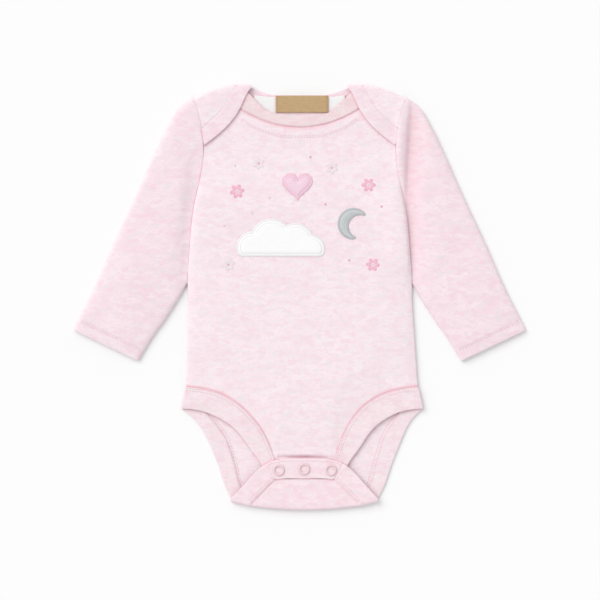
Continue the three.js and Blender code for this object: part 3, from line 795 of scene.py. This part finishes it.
for name, side in (("cuff_left", -1), ("cuff_right", 1)):
    inward = (Vector(CUFF[0]) - Vector(CUFF[1])).normalized()
    inward = Vector((-inward.y, inward.x))
    places = []
    for depth in HEM:
        line = [(side * (x + depth * inward.x), y + depth * inward.y) for x, y in CUFF]
        places += running_stitch(line)
    lay_threads("stitch_" + name, places, pink_thread, "knit")
    print(name, len(places), "stitches")

# %% [markdown]
# ## Outlines of the patches
# Each patch's outline is a short formula, so that threads can follow it and the patch can be shaped
# by it. Sewing pulls a patch's rim down into the knit and leaves its middle puffed, so every point is
# lowered by how near it is to the outline.

# %% Patch outlines
CLOUD = (-18, 50)
HEART = (-2, 104)
MOON = (50, 68)
LOBES = [(-26, -4, 14), (-8, 3, 19), (14, 1, 17), (29, -5, 12)]  # x, y, radius, from the middle
CLOUD_BASE = 12  # mm from its middle down to its flat edge
HEART_SCALE = 0.85
MOON_TURN = -0.4
MOON_RADIUS = 14
BITE_X = 6.5  # where the circle lies that leaves a sickle
BITE_RADIUS = 11


def cloud_point(share):
    dx, dy = math.cos(2 * math.pi * share), math.sin(2 * math.pi * share)
    far = 0.0
    for x, y, r in LOBES:
        reach = dx * x + dy * y
        inside = r * r - x * x - y * y + reach * reach
        far = max(far, reach + math.sqrt(max(0.0, inside)))
    if dy < 0:
        far = min(far, -CLOUD_BASE / dy)
    return (CLOUD[0] + far * dx, CLOUD[1] + far * dy)


def heart_point(share):
    t = 2 * math.pi * share
    up = 13 * math.cos(t) - 5 * math.cos(2 * t) - 2 * math.cos(3 * t) - math.cos(4 * t)
    return (HEART[0] - HEART_SCALE * 16 * math.sin(t) ** 3, HEART[1] + HEART_SCALE * up)


def moon_point(share):
    if share < 0.5:
        a = math.radians(60 + 480 * share)
        x, y = MOON_RADIUS * math.cos(a), MOON_RADIUS * math.sin(a)
    else:
        a = math.radians(272 - 368 * (share - 0.5))
        x, y = BITE_X + BITE_RADIUS * math.cos(a), BITE_RADIUS * math.sin(a)
    cos, sin = math.cos(MOON_TURN), math.sin(MOON_TURN)
    return (MOON[0] + x * cos - y * sin, MOON[1] + x * sin + y * cos)


# %% Pressed rims
RIM_DROP = 0.9  # mm: how far a patch is pulled down where it is sewn
RIM_REACH = 5.0  # mm: how far in from its outline it lies free
PATCHES = {"patch_cloud": cloud_point, "patch_heart": heart_point, "patch_moon": moon_point}
OUTLINE_POINTS = 240

for node, outline in PATCHES.items():
    ring = [outline(i / OUTLINE_POINTS) for i in range(OUTLINE_POINTS)]
    for vertex in cloth[node].data.vertices:
        inward = min(math.dist(vertex.co.xy / MM, point) for point in ring)
        vertex.co.z -= RIM_DROP * (1 - smooth_step(0, RIM_REACH, inward)) * MM
    print(node, "is pulled down by", RIM_DROP, "mm at its rim")
surface = tree_of(cloth.values())

# %% [markdown]
# ## Painted shade in the folds
# The pink is painted deeper, toward rose, where a point lies deep in a fold or seam: painted shade
# that stands in for light thrown from pink yarn to pink yarn at the bottom of a fold. To know where,
# short rays go out from every point of the cloth. The more of them meet cloth nearby, the deeper the
# point lies, and its painted shade follows that number.

# %% Painted shade in the folds
DEPTH_REACH = 7.0  # mm, the length of a ray
DEPTH_RAYS = 16
PAINTED_SHADE_GAIN = 1.05
PAINTED_SHADE_POWER = 1.3  # above 1 keeps shallow places pale
PAINTED_SHADE_PER_FOLD_MM = 0.04  # painted shade added for each mm of the right sleeve's fold
PAINTED_SHADE_MOST = 0.60
START_ABOVE = 0.08  # mm from the cloth to the start of a ray

rays = []
for i in range(DEPTH_RAYS):
    height = math.sqrt(1 - (i + 0.5) / DEPTH_RAYS)
    angle = i * math.pi * (3 - math.sqrt(5))
    out = math.sqrt(1 - height * height)
    rays.append(Vector((out * math.cos(angle), out * math.sin(angle), height)))


# How much painted shade a point gets, from the short rays that meet cloth nearby
def painted_fold_shade(point, normal):
    turn = normal.to_track_quat("Z", "Y")
    start = point + normal * START_ABOVE * MM
    total = 0.0
    for ray in rays:
        distance = surface.ray_cast(start, turn @ ray, DEPTH_REACH * MM)[3]
        if distance is not None:
            total += 1 - distance / (DEPTH_REACH * MM)
    return min(PAINTED_SHADE_MOST, PAINTED_SHADE_GAIN * (total / DEPTH_RAYS) ** PAINTED_SHADE_POWER)


for node, piece in cloth.items():
    layer = piece.data.attributes.new(PAINTED_SHADE, "FLOAT", "POINT")
    for vertex, value in zip(piece.data.vertices, layer.data):
        if vertex.normal.z > -0.2:
            value.value = painted_fold_shade(vertex.co, vertex.normal)
            # The right sleeve's fold gets more painted shade, by how deep it goes
            if node == "sleeve_right":
                value.value -= PAINTED_SHADE_PER_FOLD_MM * fold_height(vertex.co.x / MM, vertex.co.y / MM)
    values = [value.value for value in layer.data]
    print(node, "mean depth", round(sum(values) / len(values), 3))

# %% [markdown]
# ## Sewn edges and embroidery
# Each patch is held by satin stitch: threads side by side, from the patch's face down to the panel,
# with a running stitch a little way inside. Small flowers and dots in the same threads are scattered
# round the patches. All of them are the one modelled stitch, stretched to the length that is needed.

# %% Satin-stitched edges
SATIN_PITCH = 0.40  # mm from thread to thread
SATIN_IN = 1.3  # mm onto the patch
SATIN_OUT = 0.8  # mm onto the panel


def satin_edge(outline, count):
    """Stitches across a closed outline that runs counter-clockwise."""
    ring = [outline(i / count) for i in range(count + 1)]
    places = []
    for here, direction in along(ring, SATIN_PITCH):
        outward = Vector((direction.y, -direction.x))
        inner = on_cloth(*(here - SATIN_IN * outward))
        outer = on_cloth(*(here + SATIN_OUT * outward))
        if inner and outer:
            places.append((inner, outer))
    return places


PATCH_EDGES = [
    # node, points of its outline, thread, slot, distance of the inner line, thread of the inner line
    ("patch_cloud", 96, white_thread, "white_knit", 3.0, pale_thread),
    ("patch_heart", 64, rose_thread, "pink_satin", 2.6, petal_thread),
    ("patch_moon", 64, grey_thread, "grey_satin", 2.4, pale_thread),
]
for node, count, material, slot, inset, line_material in PATCH_EDGES:
    places = satin_edge(PATCHES[node], count)
    lay_threads("satin_" + node, places, material, slot)
    ring = [PATCHES[node](i / count) for i in range(count + 1)]
    line = running_stitch(ring, pitch=2.2, length=1.6, offset=inset)
    lay_threads("line_" + node, line, line_material, slot)
    print(node, len(places), "threads across the rim,", len(line), "stitches inside it")

# %% Flowers and dots
FLOWERS = [
    # x, y, radius, turn in degrees
    (-58, 98, 7.0, 10),
    (30, 120, 6.2, 40),
    (64, 104, 6.8, 0),
    (-38, 124, 5.8, 25),
    (68, 30, 6.6, 55),
    (-66, 30, 6.2, 15),
]
DOTS = [(-28, 92), (24, 86), (-70, 66), (76, 84), (-60, 122), (46, 34), (-44, 78), (10, 130)]
PETALS = 6
PETAL_FAN = range(-24, 25, 4)  # degrees from the middle of a petal
PETAL_START = 0.26  # of the flower's radius
PETAL_ROUND = 0.32  # how much shorter the outermost threads of a petal are
DOT_RADIUS = 1.3
DOT_ROWS = (-0.6, -0.2, 0.2, 0.6)  # of its radius


def star_of_threads(x, y, inner, angles, lengths):
    places = []
    for degrees, length in zip(angles, lengths):
        a = math.radians(degrees)
        ends = [on_cloth(x + r * math.cos(a), y + r * math.sin(a)) for r in (inner, length)]
        if None not in ends:
            places.append(tuple(ends))
    return places


def flower(x, y, radius, turn):
    places = []
    for petal in range(PETALS):
        angles = [turn + petal * 360 / PETALS + fan for fan in PETAL_FAN]
        lengths = [radius * (1 - PETAL_ROUND * (fan / PETAL_FAN[-1]) ** 2) for fan in PETAL_FAN]
        places += star_of_threads(x, y, radius * PETAL_START, angles, lengths)
    return places


def dot(x, y):
    places = []
    for row in DOT_ROWS:
        half = DOT_RADIUS * math.sqrt(1 - row * row)
        height = y + row * DOT_RADIUS
        places.append((on_cloth(x - half, height), on_cloth(x + half, height)))
    return places


embroidery = {"pink": [], "pale": []}
for number, (x, y, radius, turn) in enumerate(FLOWERS):
    kind, other = ("pink", "pale") if number % 2 == 0 else ("pale", "pink")
    embroidery[kind] += flower(x, y, radius, turn)
    embroidery[other] += dot(x, y)
for number, (x, y) in enumerate(DOTS):
    embroidery["pink" if number % 2 else "pale"] += dot(x, y)
EMBROIDERED = [("pink", petal_thread, "pink_satin"), ("pale", pale_thread, "grey_satin")]
for kind, material, slot in EMBROIDERED:
    lay_threads("embroidery_" + kind, embroidery[kind], material, slot)
    print("embroidery", kind, len(embroidery[kind]), "threads")

# %% Label ends
LABEL_X = (-22.2, 26.7)
LABEL_Y = (171.9, 187.0)
LABEL_INSET = 1.4
places = []
for x in (LABEL_X[0] + LABEL_INSET, LABEL_X[1] - LABEL_INSET):
    line = [(x, LABEL_Y[0]), (x, sum(LABEL_Y) / 2), (x, LABEL_Y[1])]
    places += running_stitch(line, pitch=2.1, length=1.5)
lay_threads("stitch_label", places, kraft_thread, "label")
print("label:", len(places), "stitches")

# %% [markdown]
# ## Ring snaps
# An open ring snap shows only its pressed metal ring, enamelled in the cloth's colour, with the
# cloth inside it. The ring's cross-section starts as a small circle. Its underside is pressed flat
# and its top drawn toward the inside in edit mode, and then it is spun once round the middle.

# %% Snaps
SNAPS = [(-24.2, -160.6), (-0.6, -159.6), (24.2, -160.6)]  # mm from the leaning centre line, y
RING_RADIUS = 4.35
RING_TUBE = 1.3
RING_CORNERS = 14  # round its cross-section
RING_STEPS = 48

enamel = bpy.data.materials.new("pink_enamel")
enamel.use_nodes = True
enamel_shader = enamel.node_tree.nodes["Principled BSDF"]
enamel_shader.inputs["Base Color"].default_value = (0.790, 0.605, 0.640, 1)
enamel_shader.inputs["Roughness"].default_value = 0.5
enamel_shader.inputs["Specular IOR Level"].default_value = 0.35


def press_profile(mesh, above, move, scale):
    """Moves and scales the points of the profile that lie above or below its middle."""
    bpy.ops.mesh.select_all(action="DESELECT")
    bpy.ops.object.mode_set(mode="OBJECT")
    for vertex in mesh.vertices:
        vertex.select = (vertex.co.z > 0.2 * MM) if above else (vertex.co.z < -0.2 * MM)
    bpy.ops.object.mode_set(mode="EDIT")
    bpy.ops.transform.translate(value=move)
    bpy.ops.transform.resize(value=scale)


def model_ring():
    bpy.ops.object.select_all(action="DESELECT")
    bpy.ops.mesh.primitive_circle_add(
        vertices=RING_CORNERS, radius=RING_TUBE * MM, rotation=(math.pi / 2, 0, 0)
    )
    ring = bpy.context.object
    bpy.ops.object.transform_apply(rotation=True)
    bpy.ops.object.mode_set(mode="EDIT")
    bpy.ops.mesh.select_mode(type="VERT")
    bpy.ops.mesh.select_all(action="SELECT")
    bpy.ops.transform.resize(value=(1, 1, 0.55))
    press_profile(ring.data, False, (0, 0, 0.12 * MM), (1.05, 1, 0.4))
    press_profile(ring.data, True, (0.12 * MM, 0, 0), (0.8, 1, 1))
    bpy.ops.mesh.select_all(action="SELECT")
    bpy.ops.transform.translate(value=(RING_RADIUS * MM, 0, 0))
    bpy.ops.mesh.spin(
        steps=RING_STEPS, angle=2 * math.pi, center=(0, 0, 0), axis=(0, 0, 1)
    )
    bpy.ops.mesh.select_all(action="SELECT")
    bpy.ops.mesh.remove_doubles(threshold=MERGE)
    bpy.ops.mesh.normals_make_consistent(inside=False)
    bpy.ops.object.mode_set(mode="OBJECT")
    return ring


ring = model_ring()
low = min(vertex.co.z for vertex in ring.data.vertices)
for number, (half, y) in enumerate(SNAPS, start=1):
    x = follow(LEAN, y) + half
    around = []
    for a in range(6):
        place = (x + RING_RADIUS * math.cos(a), y + RING_RADIUS * math.sin(a))
        around.append(on_cloth(*place).z)
    snap = bpy.data.objects.new(f"ring_snap_{number}", ring.data.copy())
    snap.data.transform(Matrix.Translation((x * MM, y * MM, max(around) - low)))
    snap.data.materials.append(enamel)
    bpy.context.scene.collection.objects.link(snap)
    select_only(snap)
    bpy.ops.object.shade_smooth_by_angle(angle=math.radians(60))
    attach(snap, "root")
    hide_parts(f"snap_{number}")
bpy.data.objects.remove(ring)
print("snaps:", len(SNAPS))

# %% [markdown]
# ## Sheets
# Every piece of cloth is cut flat before it is sewn. Here each is listed with the width, the length
# and the area of what was cut for it, what it lies on and what is sewn to it; the loop only looks up
# the pieces that each row names. A sleeve is counted all round, because its tube is one cut piece
# folded along its upper edge.

# %% Sheets
SHEETS = [
    # node, width and length in mm, area in mm2, how it is held, what it lies on, what is sewn to it
    ("back_body", 216, 460, 74800, "folded", (), ("stitch_back_leg_seam", "stitch_crotch_seam")),
    ("front_body", 216, 366, 59500, "laid", ("back_body",),
     ("stitch_neck_seam", "stitch_leg_seam", "embroidery_pink", "embroidery_pale")),
    ("sleeve_left", 190, 245, 28000, "laid", (), ("stitch_cuff_left",)),
    ("sleeve_right", 190, 245, 28000, "laid", (), ("stitch_cuff_right",)),
    ("leg_binding_front_left", 128, 21, 2560, "laid", ("leg_binding_back_left",), ()),
    ("leg_binding_front_right", 128, 21, 2560, "laid", ("leg_binding_back_right",), ()),
    ("leg_binding_back_left", 155, 18, 2690, "folded", (), ()),
    ("leg_binding_back_right", 155, 18, 2690, "folded", (), ()),
    ("snap_placket", 71, 18.5, 1270, "laid", ("front_body",),
     ("stitch_placket_top", "stitch_placket_seam", "ring_snap_1", "ring_snap_2", "ring_snap_3")),
    ("front_neck_binding", 135, 13.5, 1660, "laid", ("back_neck_facing",), ("stitch_neck_cover",)),
    ("back_neck_binding", 300, 13.5, 3630, "folded", ("front_body",), ()),
    ("back_neck_facing", 86, 28.2, 2060, "laid", ("back_body",), ()),
    ("neck_label", 49, 15.8, None, "laid", ("back_neck_facing",), ("stitch_label",)),
    ("patch_cloud", 81, 34, 2080, "laid", ("front_body",), ("satin_patch_cloud", "line_patch_cloud")),
    ("patch_heart", 27.2, 24.5, 420, "laid", ("front_body",), ("satin_patch_heart", "line_patch_heart")),
    ("patch_moon", 25.1, 27.8, 300, "laid", ("front_body",), ("satin_patch_moon", "line_patch_moon")),
]
for node, width, length, area, held, under, sewn in SHEETS:
    [cloth[other] for other in under] or [floor]
    area and area * MM * MM
    [bpy.data.objects[name] for name in sewn]
print("sheets:", len(SHEETS))
